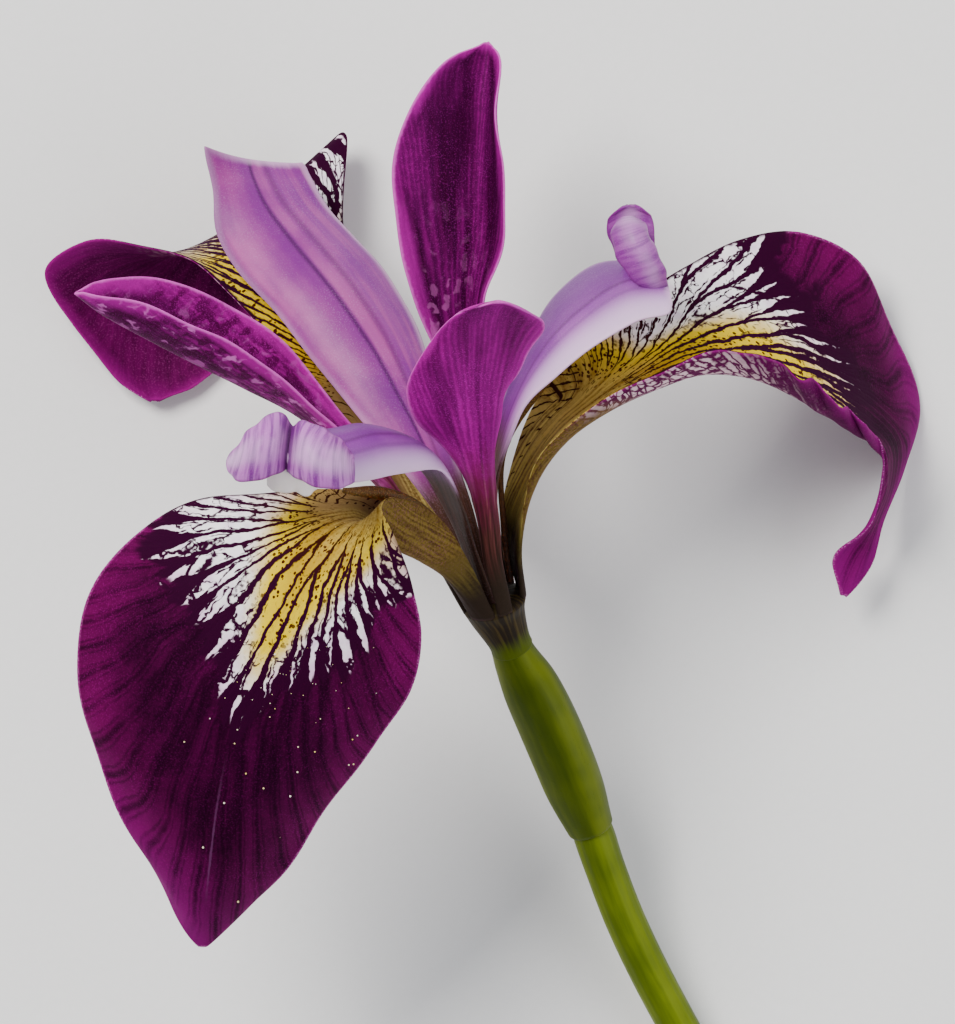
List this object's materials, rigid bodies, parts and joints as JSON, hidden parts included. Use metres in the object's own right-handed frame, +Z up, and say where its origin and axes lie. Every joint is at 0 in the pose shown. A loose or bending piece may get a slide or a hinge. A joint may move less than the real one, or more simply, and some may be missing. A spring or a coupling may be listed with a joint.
{
  "type": "iris flower",
  "caption": "Cut iris flower with its ovary and a short stem, lying on a surface.",
  "frame": {"origin": "on the surface that the flower lies on, under the middle of its bounding box", "axes": "+Z up from the surface, +Y from the cut end of the stem towards the upright standard's tip, +X to the right as the flower is seen from above"},
  "size_m": [0.0829, 0.101, 0.0569],
  "materials": {
    "fall": "velvety magenta petal with a yellow and white veined signal",
    "standard": "satin magenta petal with darker veins",
    "style": "satin lilac petal-like arm",
    "stamen": "dull cream",
    "tube": "satin brown-olive skin",
    "ovary": "satin green skin",
    "stem": "satin yellow-green skin"
  },
  "bodies": {
    "root": {"fall_front": "fall", "fall_right": "fall", "fall_back": "fall", "standard_front": "standard", "standard_left": "standard", "standard_upright": "standard", "style_arm_front": "style", "style_arm_right": "style", "style_arm_back": "style", "stamen_front": "stamen", "stamen_right": "stamen", "stamen_back": "stamen", "perianth_tube": "tube", "ovary": "ovary", "stem": "stem"}
  },
  "joints": []
}
